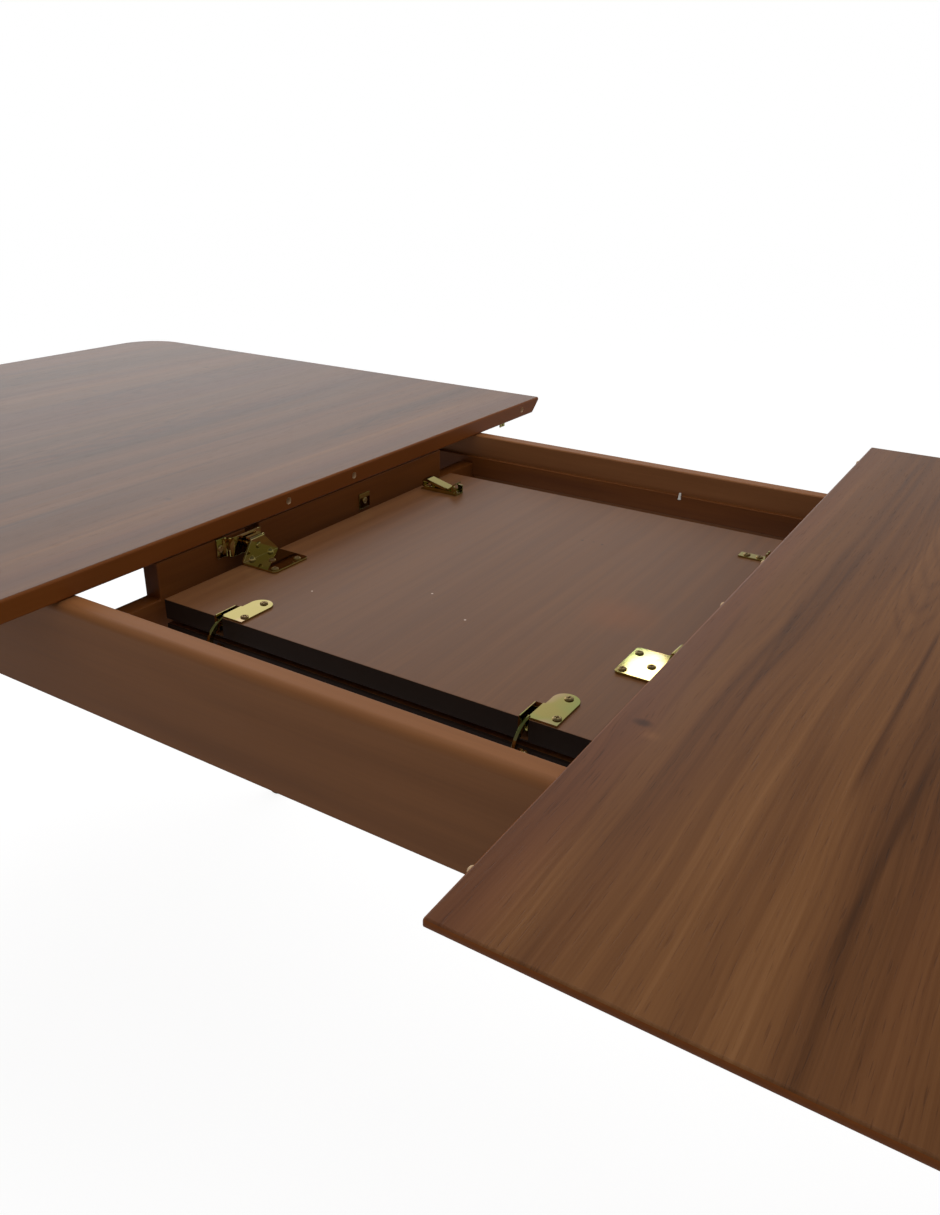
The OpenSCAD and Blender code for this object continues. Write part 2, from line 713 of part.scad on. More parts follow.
module leaf_upper() {
    color(walnut) on_upper() difference() {
        leaf_panel();
        at_each(bracket_screw_spots) screw_hole();
    }
}
module pivot_bracket_left() { color(zinc) on_upper() pivot_bracket(); }
module pivot_bracket_right() { color(zinc) on_upper() mirror([1, 0, 0]) pivot_bracket(); }
module hinges_upper() { color(zinc) on_upper() for (x = hinge_xs) hinge_leaf(x); }
module hinge_pins_upper() { color(zinc) on_upper() for (x = hinge_xs) hinge_pin(x); }
module keeper_upper() { color(zinc) on_upper() leaf_keeper(); }
module latch_base_upper() { color(zinc) on_upper() translate([-leaf_x, leaf_latch_y, 0]) latch_base(); }
module dowels_upper() { color(beech) on_upper() dowels(-leaf_x, leaf_dowel_ys, dowel_z - panel_t); }
module screws_upper() {
    color(steel) on_upper() {
        leaf_screws();
        at_each([for (p = bracket_screw_spots) p + [0, 0, bracket_t]]) screw();
    }
}
module latch_bolt_upper() { color(zinc) on_upper() translate([-leaf_x, leaf_latch_y, 0]) latch_bolt(); }
module fold_link_left() { color(zinc) fold_link(hinge_xs[0]); }
module fold_link_right() { color(zinc) fold_link(hinge_xs[1]); }

module leaf_lower() { color(walnut) on_lower() leaf_panel(); }
module hinges_lower() { color(zinc) on_lower() for (x = hinge_xs) hinge_leaf(x); }
module hinge_pins_lower() { color(zinc) on_lower() for (x = hinge_xs) hinge_pin(x); }
module keeper_lower() { color(zinc) on_lower() leaf_keeper(); }
module latch_base_lower() { color(zinc) on_lower() translate([-leaf_x, leaf_latch_y, 0]) latch_base(); }
module dowels_lower() { color(beech) on_lower() dowels(-leaf_x, leaf_dowel_ys, dowel_z - panel_t); }
module screws_lower() { color(steel) on_lower() leaf_screws(); }
module latch_bolt_lower() { color(zinc) on_lower() translate([-leaf_x, leaf_latch_y, 0]) latch_bolt(); }

apron_front();
apron_back();
apron_left();
apron_right();
leg_front_left();
leg_front_right();
leg_back_left();
leg_back_right();
leg_glides();
corner_brackets();
leg_bolts();
leg_nuts();
cross_rail_left();
cross_rail_right();
track_front();
track_back();
track_pegs();
pivot_support_left();
pivot_support_right();
pivot_pins();
rail_plates();
frame_screws();
apron_pads();
top_left();
runner_left_front();
runner_left_back();
clips_left();
keepers_left();
screws_left();
top_right();
runner_right_front();
runner_right_back();
clips_right();
latch_bases_right();
dowels_right();
screws_right();
latch_bolt_front();
latch_bolt_back();
leaf_upper();
pivot_bracket_left();
pivot_bracket_right();
hinges_upper();
hinge_pins_upper();
keeper_upper();
latch_base_upper();
dowels_upper();
screws_upper();
latch_bolt_upper();
fold_link_left();
fold_link_right();
leaf_lower();
hinges_lower();
hinge_pins_lower();
keeper_lower();
latch_base_lower();
dowels_lower();
screws_lower();
latch_bolt_lower();
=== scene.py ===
import json
import math
import bmesh
import bpy
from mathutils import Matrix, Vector


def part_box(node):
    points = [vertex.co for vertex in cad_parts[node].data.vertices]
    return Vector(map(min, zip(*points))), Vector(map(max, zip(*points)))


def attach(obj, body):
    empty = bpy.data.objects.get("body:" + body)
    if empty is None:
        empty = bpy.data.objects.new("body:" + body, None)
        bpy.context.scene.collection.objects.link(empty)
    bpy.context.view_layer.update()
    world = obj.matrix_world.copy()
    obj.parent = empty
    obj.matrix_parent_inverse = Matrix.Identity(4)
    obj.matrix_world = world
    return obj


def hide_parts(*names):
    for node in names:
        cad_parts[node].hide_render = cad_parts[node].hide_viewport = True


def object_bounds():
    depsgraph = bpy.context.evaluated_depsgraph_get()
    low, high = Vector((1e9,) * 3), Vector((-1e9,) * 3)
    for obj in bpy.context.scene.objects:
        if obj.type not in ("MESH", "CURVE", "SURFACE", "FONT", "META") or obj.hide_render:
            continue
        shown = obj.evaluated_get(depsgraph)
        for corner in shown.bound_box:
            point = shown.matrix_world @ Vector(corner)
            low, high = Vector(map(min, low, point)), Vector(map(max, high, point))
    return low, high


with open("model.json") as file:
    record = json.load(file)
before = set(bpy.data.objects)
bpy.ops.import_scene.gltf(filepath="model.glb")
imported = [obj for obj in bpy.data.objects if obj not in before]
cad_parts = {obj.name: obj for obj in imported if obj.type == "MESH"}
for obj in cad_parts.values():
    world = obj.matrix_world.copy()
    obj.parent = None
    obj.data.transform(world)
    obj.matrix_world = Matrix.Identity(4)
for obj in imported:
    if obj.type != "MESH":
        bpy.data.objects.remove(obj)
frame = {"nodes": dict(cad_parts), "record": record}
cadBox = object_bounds()
nodes = frame["nodes"]
bodies = frame["record"]["behaviour"]["bodies"]
bodyOf = {node: body for body, members in bodies.items() for node in members}
mm = 0.001
print("frame loaded:", len(nodes), "nodes")


class Wire:  # one socket of a node tree; arithmetic on it adds Math nodes
    def __init__(self, tree, socket):
        self.tree = tree
        self.socket = socket

    def make(self, kind, settings=None, sockets=None, out=0):  # any node: type, settings, sockets
        made = self.tree.nodes.new("ShaderNode" + kind)
        for name, value in (settings or {}).items():
            if name == "stops":
                setStops(made.color_ramp, value)
            else:
                setattr(made, name, value)
        for name, value in (sockets or {}).items():
            if isinstance(value, Wire):
                self.tree.links.new(value.socket, made.inputs[name])
            else:
                made.inputs[name].default_value = value
        return Wire(self.tree, made.outputs[out]) if len(made.outputs) else None

    def calc(self, operation, *values):
        return self.make("Math", {"operation": operation}, dict(enumerate(values)))

    def __add__(self, other):
        return self.calc("ADD", self, other)

    def __radd__(self, other):
        return self.calc("ADD", other, self)

    def __sub__(self, other):
        return self.calc("SUBTRACT", self, other)

    def __rsub__(self, other):
        return self.calc("SUBTRACT", other, self)

    def __mul__(self, other):
        return self.calc("MULTIPLY", self, other)

    def __rmul__(self, other):
        return self.calc("MULTIPLY", other, self)

    def __truediv__(self, other):
        return self.calc("DIVIDE", self, other)

    def __rtruediv__(self, other):
        return self.calc("DIVIDE", other, self)

    def __pow__(self, other):
        return self.calc("POWER", self, other)

    def __abs__(self):
        return self.calc("ABSOLUTE", self)

    def root(self):
        return self.calc("SQRT", self)

    def wave(self):  # 0 to 1 and back for each whole step of the wire
        return self.calc("SINE", self * (2 * math.pi)) * 0.5 + 0.5

    def axis(self, index):
        return self.make("SeparateXYZ", {}, {0: self}, out=index)

    def step(self, low, high):  # smooth 0 to 1 between two values
        return self.make("MapRange", {"interpolation_type": "SMOOTHSTEP"},
                         {"Value": self, "From Min": low, "From Max": high})

    def blend(self, first, second):  # two colours mixed by this wire
        return self.make("Mix", {"data_type": "RGBA"}, {0: self, 6: first, 7: second}, out=2)

    def tint(self, amount, colour):  # this colour multiplied by another, as far as amount says
        return self.make("Mix", {"data_type": "RGBA", "blend_type": "MULTIPLY"},
                         {0: amount, 6: self, 7: (*colour, 1.0)}, out=2)

    def ramp(self, stops):
        return self.make("ValToRGB", {"stops": stops}, {0: self})

    def noise(self, scale, detail=2.0, roughness=0.5):
        spread = self.make("VectorMath", {"operation": "MULTIPLY"}, {0: self, 1: scale})
        return self.make("TexNoise", {}, {"Vector": spread, "Scale": 1.0, "Detail": detail,
                                          "Roughness": roughness})


def setStops(ramp, stops):
    while len(ramp.elements) < len(stops):
        ramp.elements.new(1.0)
    for element, (position, colour) in zip(ramp.elements, stops):
        element.position = position
        element.color = (*colour, 1.0)


def diagonal(first, second):  # the distance that two distances at right angles make
    return (first * first + second * second).root()


def startTree(owner):
    owner.use_nodes = True
    owner.node_tree.nodes.clear()
    return Wire(owner.node_tree, None)


def startMaterial(name):
    material = bpy.data.materials.new(name)
    return material, startTree(material).make("TexCoord", out=3)


def endMaterial(place, sockets, height, depth):
    sockets["Normal"] = place.make("Bump", {}, {"Height": height, "Distance": depth, "Strength": 1.0})
    surface = place.make("BsdfPrincipled", {}, sockets)
    place.make("OutputMaterial", {}, {"Surface": surface})


veneer = {
    "ramp": [(0.0, (0.038, 0.014, 0.004)), (0.27, (0.080, 0.028, 0.007)), (0.5, (0.129, 0.048, 0.013)),
             (0.73, (0.175, 0.070, 0.020)), (1.0, (0.245, 0.108, 0.036))],
    "sway": 0.040,       # how far the grain wanders sideways
    "ripple": 0.007,     # and how far it ripples
    "broad": 1.15,       # strength of the wide bands
    "band": 0.60,        # of the narrower ones
    "streak": 0.46,
    "fibre": 0.36,
    "pore": 0.16,
    "arch": 0.12,        # of the nested growth lines round a flat-cut heart
    "swayScale": (3.2, 1.5, 1.0),  # noise scales, across and along the grain
    "rippleScale": (14.0, 7.0, 1.0),
    "broadScale": (10.0, 0.55, 1.0),
    "bandScale": (52.0, 0.9, 1.0),
    "streakScale": (175.0, 2.2, 1.0),
    "fibreScale": (640.0, 9.0, 1.0),
    "poreScale": (1300.0, 55.0, 1.0),
    "hueScale": (15.0, 0.8, 1.0),
    "poreEdge": (0.62, 0.74),
    "hueEdge": (0.47, 0.70),
    "slice": 0.37,       # depth at which the veneer cuts through the noise
    "endFade": 0.035,    # how softly a dark streak begins and ends
    "streakSway": 0.012,
    "purple": (0.86, 0.76, 0.90),
    "roughness": 0.34,
    "fibreRough": 0.10,
    "poreRough": 0.06,
    "gloss": 0.31,
    "fibreRise": 0.4,    # heights, as parts of the bump
    "poreSink": 0.6,
    "bump": 0.05 * mm,
}

archLooks = {
    "tip": (-0.15, 0.15),    # soft edges of the area that the lines fill
    "foot": (1.3, 2.6),
    "side": (0.7, 1.6),
    "wander": 3.0,
    "crisp": 2.5,
}

knotLooks = {                # in sizes of the knot
    "bend": (4, 9),          # how far round it the grain bends
    "pull": 0.55,            # and how strongly
    "squash": 0.7,           # length of its dark heart
    "heartEdge": (0.2, 1.3),
    "paleSpot": (1.3, 1.6),  # where the pale patch lies beside it
    "paleSize": (1.4, 1.1),
    "paleEdge": (0.1, 1.0),
    "paleDepth": -0.45,
}


def archLines(along, across, wander, arch):  # growth lines nested in one arch
    centre, tip, half, run, count = arch
    side = (across - centre) / half
    nest = (along - tip) / run - side * side
    inside = nest.step(*archLooks["tip"]) * (1 - nest.step(*archLooks["foot"]))
    inside = inside * (1 - abs(side).step(*archLooks["side"]))
    return (nest * count + wander * archLooks["wander"]).wave() ** archLooks["crisp"] * inside


def streakShade(along, across, streak, fade):  # one dark streak with soft ends
    centre, nearEnd, farEnd, half, depth, lean = streak
    side = abs(across - (along - nearEnd) * lean - centre) / half
    return (1 - side.step(0.1, 1.0)) * along.step(nearEnd - fade, nearEnd + fade) * (
        1 - along.step(farEnd - fade, farEnd + fade)) * depth


def bentByKnot(across, along, knot):  # the grain drawn in towards a knot
    centre, where, size = knot[:3]
    wide, long = knotLooks["bend"]
    near = 1 - diagonal((across - centre) / (size * wide), (along - where) / (size * long)).step(0.0, 1.0)
    return across - (across - centre) * near * knotLooks["pull"]


def knotShades(side, along, knot):  # a knot's dark heart and its pale patch
    centre, where, size, depth = knot
    asideX, asideY = knotLooks["paleSpot"]
    paleX, paleY = knotLooks["paleSize"]
    heart = diagonal((side - centre) / size, (along - where) / (size * knotLooks["squash"]))
    pale = diagonal((side - centre - size * asideX) / (size * paleX),
                    (along - where + size * asideY) / (size * paleY))
    return [(1 - heart.step(*knotLooks["heartEdge"])) * depth,
            (1 - pale.step(*knotLooks["paleEdge"])) * depth * knotLooks["paleDepth"]]


def walnutVeneer(name, looks, arches, streaks, knots, level=0.5, contrast=1.0):  # grain along Y
    material, place = startMaterial(name)
    side = place.axis(0)
    along = place.axis(1)
    across = side + ((place.noise(looks["swayScale"], 1.0) - 0.5) * looks["sway"]
                     + (place.noise(looks["rippleScale"], 1.0) - 0.5) * looks["ripple"])
    for knot in knots:
        across = bentByKnot(across, along, knot)
    grain = place.make("CombineXYZ", {}, {0: across, 1: along, 2: looks["slice"]})
    broad = grain.noise(looks["broadScale"], 2.0) - 0.5
    band = grain.noise(looks["bandScale"], 2.0, 0.55) - 0.5
    streak = grain.noise(looks["streakScale"], 3.0, 0.65) - 0.5
    fibre = grain.noise(looks["fibreScale"], 2.0, 0.6) - 0.5
    pore = grain.noise(looks["poreScale"], 1.0).step(*looks["poreEdge"])
    tone = level + (broad * looks["broad"] + band * looks["band"] + streak * looks["streak"]
                    + fibre * looks["fibre"] - pore * looks["pore"]) * contrast
    for arch in arches:
        tone = tone - archLines(along, across, band, arch) * looks["arch"]
    for dark in streaks:
        tone = tone - streakShade(along, side + band * looks["streakSway"], dark, looks["endFade"])
    for knot in knots:
        for shade in knotShades(side, along, knot):
            tone = tone - shade
    hue = grain.noise(looks["hueScale"], 1.0).step(*looks["hueEdge"])
    colour = tone.ramp(looks["ramp"]).tint(hue, looks["purple"])
    roughness = looks["roughness"] + (fibre * looks["fibreRough"] + pore * looks["poreRough"])
    height = (0.5 + fibre * looks["fibreRise"]) - pore * looks["poreSink"]
    endMaterial(place, {"Base Color": colour, "Roughness": roughness, "Specular IOR Level": looks["gloss"]},
                height, looks["bump"])
    return material


# arches: across, tip along, half width, run, lines; streaks: across, near end, far end, half width,
# depth, lean; knots: across, along, size, depth; lengths in metres, where the pieces rest
rightFigure = {
    "arches": [(0.331, -0.060, 0.021, 0.140, 2.6), (0.52, -0.22, 0.045, 0.26, 5.0),
               (0.70, 0.02, 0.040, 0.22, 4.5), (0.86, -0.15, 0.045, 0.25, 5.0)],
    "streaks": [(0.350, -0.25, -0.03, 0.0040, 0.34, 0.03), (0.364, -0.38, -0.20, 0.0045, 0.20, 0.075),
                (0.285, -0.28, 0.08, 0.0200, 0.06, -0.02), (0.238, -0.23, -0.07, 0.0030, 0.14, -0.03),
                (0.276, -0.34, -0.02, 0.0028, 0.10, -0.045), (0.247, -0.42, -0.28, 0.0030, 0.13, -0.04),
                (0.328, -0.34, -0.22, 0.0110, 0.10, 0.0), (0.305, -0.36, -0.24, 0.0130, -0.07, 0.0),
                (0.245, -0.45, -0.37, 0.0300, -0.16, 0.0), (0.56, -0.10, 0.30, 0.0060, 0.20, 0.02)],
    "knots": [(0.231, -0.252, 0.0065, 0.42)],
}
leftFigure = {
    "arches": [(-0.314, 0.11, 0.020, 0.14, 2.6), (-0.50, -0.30, 0.045, 0.26, 5.0),
               (-0.66, 0.05, 0.040, 0.20, 4.5), (-0.84, -0.20, 0.045, 0.25, 5.0)],
    "streaks": [(-0.273, -0.30, 0.35, 0.0050, -0.12, 0.0), (-0.400, -0.25, 0.10, 0.0060, -0.12, 0.01),
                (-0.345, -0.34, 0.05, 0.0040, 0.12, 0.0), (-0.470, -0.10, 0.38, 0.0180, 0.10, 0.0),
                (-0.560, -0.30, 0.10, 0.0040, -0.12, 0.0)],
    "knots": [(-0.709, 0.327, 0.0055, 0.22), (-0.709, 0.127, 0.0055, 0.22), (-0.289, -0.129, 0.0050, 0.20)],
    "level": 0.39,       # darker and plainer than the right half
    "contrast": 0.68,
}
leafFigure = {
    "arches": [(0.05, -0.15, 0.040, 0.22, 4.5), (-0.13, 0.02, 0.040, 0.20, 4.5)],
    "streaks": [(0.12, -0.20, 0.15, 0.0050, 0.16, 0.01), (-0.05, -0.15, 0.20, 0.0060, 0.10, 0.0)],
    "knots": [],
}

solid = {
    "ramp": [(0.0, (0.112, 0.040, 0.013)), (0.35, (0.190, 0.072, 0.023)), (0.6, (0.252, 0.100, 0.034)),
             (1.0, (0.335, 0.145, 0.054))],
    "innerRamp": [(0.0, (0.055, 0.015, 0.003)), (0.4, (0.118, 0.034, 0.006)), (0.65, (0.166, 0.050, 0.009)),
                  (1.0, (0.250, 0.088, 0.020))],
    "edgeRamp": [(0.0, (0.100, 0.027, 0.004)), (0.4, (0.160, 0.044, 0.007)), (0.65, (0.200, 0.058, 0.010)),
                 (1.0, (0.270, 0.086, 0.018))],
    "darkRamp": [(0.0, (0.016, 0.009, 0.006)), (0.5, (0.026, 0.015, 0.010)), (1.0, (0.042, 0.025, 0.017))],
    "rawRamp": [(0.0, (0.38, 0.23, 0.12)), (0.5, (0.60, 0.42, 0.25)), (1.0, (0.74, 0.56, 0.38))],
    "soft": (8.0, 1.6),      # noise scales, across and along the grain
    "narrow": (46.0, 2.4),
    "fine": (430.0, 14.0),
    "ring": 0.011,           # from one growth line to the next
    "waver": 5.0,            # of the lines
    "crisp": 2.0,
    "wander": 0.75,          # strengths in the colour
    "streak": 0.34,
    "fibre": 0.16,
    "line": 0.05,
    "bump": 0.05 * mm,
}


def alongGrain(scales, along):  # a noise scale for grain that runs along one axis
    across, lengthwise = scales
    return [lengthwise if index == along else across for index in range(3)]


def solidWood(name, along, ramp, heart=(0.84, 0.02), contrast=1.0, roughness=0.48, gloss=0.16):
    material, place = startMaterial(name)
    far, near = heart  # the log's axis, seen from the middle of the table
    sides = [index for index in range(3) if index != along]
    wander = place.noise(alongGrain(solid["soft"], along), 2.0) - 0.5
    rings = diagonal(place.axis(sides[0]) - near, place.axis(sides[1]) - far) / solid["ring"]
    line = (rings + wander * solid["waver"]).wave() ** solid["crisp"]
    streak = place.noise(alongGrain(solid["narrow"], along), 3.0, 0.6) - 0.5
    fibre = place.noise(alongGrain(solid["fine"], along), 2.0, 0.6) - 0.5
    tone = 0.50 + (wander * solid["wander"] + streak * solid["streak"] + fibre * solid["fibre"]
                   - (line - 0.4) * solid["line"]) * contrast
    endMaterial(place, {"Base Color": tone.ramp(ramp), "Roughness": roughness + fibre * 0.12,
                        "Specular IOR Level": gloss}, 0.5 + fibre * 0.5, solid["bump"])
    return material


backing = {
    "ramp": [(0.0, (0.082, 0.032, 0.012)), (0.4, (0.124, 0.050, 0.018)), (0.62, (0.152, 0.063, 0.023)),
             (1.0, (0.205, 0.088, 0.034))],
    "roughness": 0.40,
    "gloss": 0.38,
    "pale": (0.62, 0.50, 0.42),
    "dark": (0.035, 0.016, 0.010),
    "orange": (0.190, 0.062, 0.014),
    "warmSpot": (0.125, -0.039),  # an orange patch, its soft edge and strength
    "warmEdge": (0.004, 0.045),
    "warmth": 0.55,
    "specks": [(-0.1107, -0.1406, 1.1, "pale"), (-0.0242, -0.0878, 1.2, "pale"),  # x, y, mm across, shade
               (0.0262, -0.1158, 1.2, "pale"), (0.025, 0.099, 1.6, "dark"),
               (0.036, 0.101, 1.2, "dark"), (0.046, 0.099, 1.6, "dark")],
    "broadScale": (6.0, 1.4, 1.0),
    "streakScale": (120.0, 2.4, 1.0),
    "fibreScale": (720.0, 20.0, 1.0),
    "broad": 0.60,
    "streak": 0.60,
    "fibre": 0.50,
    "bump": 0.04 * mm,
}


def farFrom(place, spot):  # distance of each point from one spot
    return place.make("VectorMath", {"operation": "DISTANCE"}, {0: place, 1: spot}, out=1)


def backingVeneer(name, looks, leafZ):
    material, place = startMaterial(name)
    broad = place.noise(looks["broadScale"], 2.0) - 0.5
    streak = place.noise(looks["streakScale"], 3.0, 0.6) - 0.5
    fibre = place.noise(looks["fibreScale"], 2.0, 0.6) - 0.5
    tone = 0.50 + broad * looks["broad"] + streak * looks["streak"] + fibre * looks["fibre"]
    colour = tone.ramp(looks["ramp"])
    warm = 1 - farFrom(place, (*looks["warmSpot"], leafZ)).step(*looks["warmEdge"])
    colour = (warm * looks["warmth"]).blend(colour, (*looks["orange"], 1.0))
    for x, y, size, shade in looks["specks"]:
        gap = farFrom(place, (x, y, leafZ))
        colour = (1 - gap.step(size * 0.5 * mm, size * mm)).blend(colour, (*looks[shade], 1.0))
    endMaterial(place, {"Base Color": colour, "Roughness": looks["roughness"] + fibre * 0.12,
                        "Specular IOR Level": looks["gloss"]}, 0.5 + fibre * 0.5, looks["bump"])
    return material


yellowZinc = {
    "gold": (0.45, 0.37, 0.115),
    "green": (0.36, 0.39, 0.12),
    "pink": (0.56, 0.40, 0.22),
    "roughness": 0.06,
}
screwZinc = {
    "gold": (0.52, 0.36, 0.15),
    "green": (0.48, 0.38, 0.16),
    "pink": (0.52, 0.31, 0.16),
    "roughness": 0.36,
}
plainSteel = {
    "gold": (0.52, 0.49, 0.38),
    "green": (0.46, 0.47, 0.40),
    "pink": (0.50, 0.45, 0.38),
    "roughness": 0.22,
}
plating = {  # the clouds that every zinc plate has
    "patchScale": (26.0, 26.0, 26.0),
    "patchEdge": (0.48, 0.72),
    "otherScale": (38.0, 38.0, 38.0),
    "otherEdge": (0.54, 0.74),
    "grainScale": (900.0, 900.0, 900.0),
    "grainRough": 0.08,
    "bump": 0.008 * mm,
}


def zincPlate(name, looks):
    material, place = startMaterial(name)
    patch = place.noise(plating["patchScale"], 1.0).step(*plating["patchEdge"])
    other = place.noise(plating["otherScale"], 1.0).step(*plating["otherEdge"])
    grain = place.noise(plating["grainScale"], 2.0) - 0.5
    colour = patch.blend((*looks["gold"], 1.0), (*looks["green"], 1.0))
    colour = other.blend(colour, (*looks["pink"], 1.0))
    roughness = looks["roughness"] + grain * plating["grainRough"]
    endMaterial(place, {"Base Color": colour, "Metallic": 1.0, "Roughness": roughness},
                0.5 + grain * 0.5, plating["bump"])
    return material


nylon = {
    "mottleScale": (300.0, 300.0, 300.0),
    "dark": 0.85,
    "light": 1.1,
    "bump": 0.04 * mm,
}


def plastic(name, colour, roughness):
    material, place = startMaterial(name)
    mottle = place.noise(nylon["mottleScale"], 2.0)
    dark, light = ([part * nylon[side] for part in colour] for side in ("dark", "light"))
    shade = mottle.blend((*dark, 1.0), (*light, 1.0))
    endMaterial(place, {"Base Color": shade, "Roughness": roughness}, mottle, nylon["bump"])
    return material


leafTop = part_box("leaf_upper")[1].z
topLeftWood = walnutVeneer("walnut_veneer_left", veneer, **leftFigure)
topRightWood = walnutVeneer("walnut_veneer_right", veneer, **rightFigure)
leafWood = walnutVeneer("walnut_veneer_leaf", veneer, **leafFigure)
underWood = backingVeneer("backing_veneer", backing, leafTop)
edgeWood = solidWood("edge_band", 1, solid["edgeRamp"], contrast=0.8, roughness=0.42, gloss=0.15)
buttWood = solidWood("butt_edge", 0, solid["darkRamp"], contrast=0.6, roughness=0.5, gloss=0.12)
railWood = solidWood("rail_wood", 1, solid["innerRamp"], heart=(0.78, 0.05), contrast=1.5, gloss=0.15)
trackWood = solidWood("track_wood", 0, solid["innerRamp"], heart=(0.80, 0.10), contrast=1.6, gloss=0.20)
apronWoodX = solidWood("apron_wood_long", 0, solid["ramp"], gloss=0.20)
apronWoodY = solidWood("apron_wood_end", 1, solid["ramp"], gloss=0.20)
legWood = solidWood("leg_wood", 2, solid["ramp"], heart=(0.05, 0.02))
rawWood = solidWood("raw_wood", 0, solid["rawRamp"], contrast=0.7, roughness=0.6)
plateZinc = zincPlate("yellow_zinc", yellowZinc)
headZinc = zincPlate("screw_zinc", screwZinc)
steel = zincPlate("zinc_steel", plainSteel)
blackPlastic = plastic("black_nylon", (0.02, 0.02, 0.021), 0.5)
whitePlastic = plastic("white_nylon", (0.80, 0.78, 0.72), 0.45)
print("materials made")

crease = {
    "flat": 0.4,          # degrees between two faces: below this they are one
    "bend": 0.5,          # above this they are part of a curve
    "edge": 28,           # above this their edge is rounded over
    "crisp": 50,          # above this the shading breaks
    "facet": 5 * mm,      # widest strip of a curve
    "near": 0.1 * mm,     # what counts as lying on a plane
    "merge": 0.002 * mm,  # corners closer than this are one
}


def isSharp(edge, least):
    return len(edge.link_faces) == 2 and edge.calc_face_angle(0.0) > math.radians(least)


def isCurved(face):  # a narrow facet between two gentle bends
    bends = sum(1 for edge in face.edges
                if isSharp(edge, crease["bend"]) and not isSharp(edge, crease["edge"]))
    return bends > 1 and face.calc_area() < crease["facet"] * max(edge.calc_length() for edge in face.edges)


def roundedCopy(node, radius, finishes, chooser=None, steps=2, tip=None, outer=None):
    # a copy of a node's solid with its sharp edges rounded over, and its tips more so
    shape = bmesh.new()
    shape.from_mesh(nodes[node].data)
    bmesh.ops.remove_doubles(shape, verts=shape.verts, dist=crease["merge"])
    bmesh.ops.dissolve_limit(shape, angle_limit=math.radians(crease["flat"]),
                             verts=shape.verts, edges=shape.edges)
    shape.normal_update()
    for face in shape.faces:  # while rounding, slot 1 marks the curved faces
        face.material_index = int(isCurved(face))
    if tip:
        inTip, tipRadius = tip
        tips = [edge for edge in shape.edges if isSharp(edge, crease["edge"]) and inTip(edge)]
        bmesh.ops.bevel(shape, geom=tips, offset=tipRadius, segments=4, profile=0.5,
                        affect="EDGES", clamp_overlap=True, material=1)
        shape.normal_update()
    sharp = [edge for edge in shape.edges
             if isSharp(edge, crease["edge"]) and (outer is None or outer(edge))]
    bmesh.ops.bevel(shape, geom=sharp, offset=radius, segments=steps, profile=0.5,
                    affect="EDGES", clamp_overlap=False, offset_type="OFFSET", material=1)
    shape.normal_update()
    for face in shape.faces:
        face.smooth = face.material_index == 1
        face.material_index = chooser(face.calc_center_median(), face.normal) if chooser else 0
    for edge in shape.edges:
        edge.smooth = not isSharp(edge, crease["crisp"])
    bmesh.ops.triangulate(shape, faces=[face for face in shape.faces if len(face.verts) > 4])
    mesh = bpy.data.meshes.new(node + "_made")
    shape.to_mesh(mesh)
    shape.free()
    piece = bpy.data.objects.new(node + "_made", mesh)
    bpy.context.scene.collection.objects.link(piece)
    for finish in finishes:
        mesh.materials.append(finish)
    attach(piece, bodyOf[node])
    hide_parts(node)
    return piece


panel = {
    "ease": 1.2 * mm,          # rounding along the edges of the top halves
    "leafEase": 0.4 * mm,
    "tip": 3.0 * mm,           # and at the corners beside the cut edges
    "tipReach": 12 * mm,
    "outline": 25 * mm,        # shorter edges belong to pockets and holes
    "dowelLines": (-404, -50, 50, 404),  # across the table, in mm
    "leafDowelLines": (-171, 183),
    "hole": 3.7 * mm,
    "buttReach": 2 * mm,       # how far in from its butt edge the leaf is dark
    "facing": 0.9,             # a normal's part along Z on a face that looks up or down
    "facingButt": 0.6,         # and along Y on a butt edge
}


def panelChooser(node, showUp, lines, buttY=None):  # which finish each face of a panel takes
    low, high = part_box(node)
    middle = (low.z + high.z) / 2

    def choose(centre, normal):
        up = normal.z if showUp else -normal.z
        if any(math.hypot(centre.y - line * mm, centre.z - middle) < panel["hole"] for line in lines):
            return 4  # inside a dowel hole
        if up > panel["facing"]:
            return 0  # show face
        if up < -panel["facing"]:
            return 1  # underside
        if buttY is not None and normal.y < -panel["facingButt"] and centre.y < buttY + panel["buttReach"]:
            return 3  # where the two leaf halves meet
        return 2
    return choose


def outerEdges(node):  # the outline of a panel, without its pockets and holes
    low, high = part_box(node)

    def outer(edge):
        ends = [vert.co for vert in edge.verts]
        sides = sum(1 for axis in (0, 1) for side in (low, high)
                    if all(abs(end[axis] - side[axis]) < crease["near"] for end in ends))
        return sides > 1 or (sides == 1 and edge.calc_length() > panel["outline"])
    return outer


def tipEdges(node, cutX):  # the edges at both ends of a cut edge
    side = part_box(node)[1].y - panel["tipReach"]

    def inTip(edge):
        return all(abs(vert.co.x - cutX) < crease["near"] and abs(vert.co.y) > side for vert in edge.verts)
    return inTip


panelWoods = [underWood, edgeWood, buttWood, rawWood]  # slots 1 to 4, after the show face
for node, finish, cutX in (("top_left", topLeftWood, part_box("top_left")[1].x),
                           ("top_right", topRightWood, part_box("top_right")[0].x)):
    roundedCopy(node, panel["ease"], [finish] + panelWoods, panelChooser(node, True, panel["dowelLines"]),
                steps=3, tip=(tipEdges(node, cutX), panel["tip"]), outer=outerEdges(node))
for node, showUp in (("leaf_upper", False), ("leaf_lower", True)):  # the upper half lies show face down
    chooser = panelChooser(node, showUp, panel["leafDowelLines"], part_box(node)[0].y)
    roundedCopy(node, panel["leafEase"], [leafWood] + panelWoods, chooser, outer=outerEdges(node))
print("table top made")

